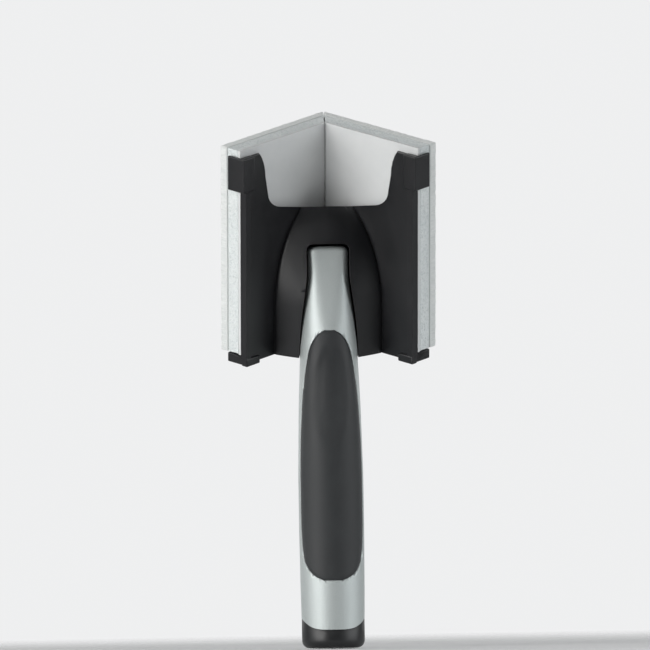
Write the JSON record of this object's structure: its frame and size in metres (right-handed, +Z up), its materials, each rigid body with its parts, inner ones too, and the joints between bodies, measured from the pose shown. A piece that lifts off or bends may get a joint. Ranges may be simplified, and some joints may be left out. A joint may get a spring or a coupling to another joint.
{
  "type": "corner pad painter",
  "caption": "Hand tool for painting an inside wall corner: a V-shaped holder with slide-in paint pads on a soft-grip handle with a threaded pole socket.",
  "frame": {"origin": "centre of the mouth of the pole socket, in the end of the handle", "axes": "+Z up the handle's axis to the holder, -Y toward the user who faces the inside of the V, +X to the user's right; the V leans 19.5 degrees toward the user from +Z"},
  "size_m": [0.1146, 0.1044, 0.2855],
  "materials": {
    "holder_plastic": "satin moulded black",
    "handle_plastic": "silver metallic paint look, satin",
    "grip_rubber": "soft matte thermoplastic rubber",
    "cap_plastic": "satin moulded black",
    "insert_nylon": "plain moulded",
    "screw_steel": "zinc plated",
    "pad_backing": "plain white sheet",
    "pad_foam": "open-cell foam",
    "pad_nap": "short flocked nap"
  },
  "bodies": {
    "tool": {"holder_body": "holder_plastic", "handle_shell": "handle_plastic", "front_grip": "grip_rubber", "rear_grip": "grip_rubber", "end_cap": "cap_plastic", "thread_insert": "insert_nylon", "neck_screw_lower": "screw_steel", "neck_screw_upper": "screw_steel"},
    "left_pad": {"left_pad_backing": "pad_backing", "left_pad_foam": "pad_foam", "left_pad_nap": "pad_nap"},
    "right_pad": {"right_pad_backing": "pad_backing", "right_pad_foam": "pad_foam", "right_pad_nap": "pad_nap"}
  },
  "joints": [
    {"name": "left_pad_slide", "type": "slide", "parent": "tool", "child": "left_pad", "axis": [0, -0.3338, 0.9426], "range_m": [0, 0.112]},
    {"name": "right_pad_slide", "type": "slide", "parent": "tool", "child": "right_pad", "axis": [0, -0.3338, 0.9426], "range_m": [0, 0.112]}
  ]
}
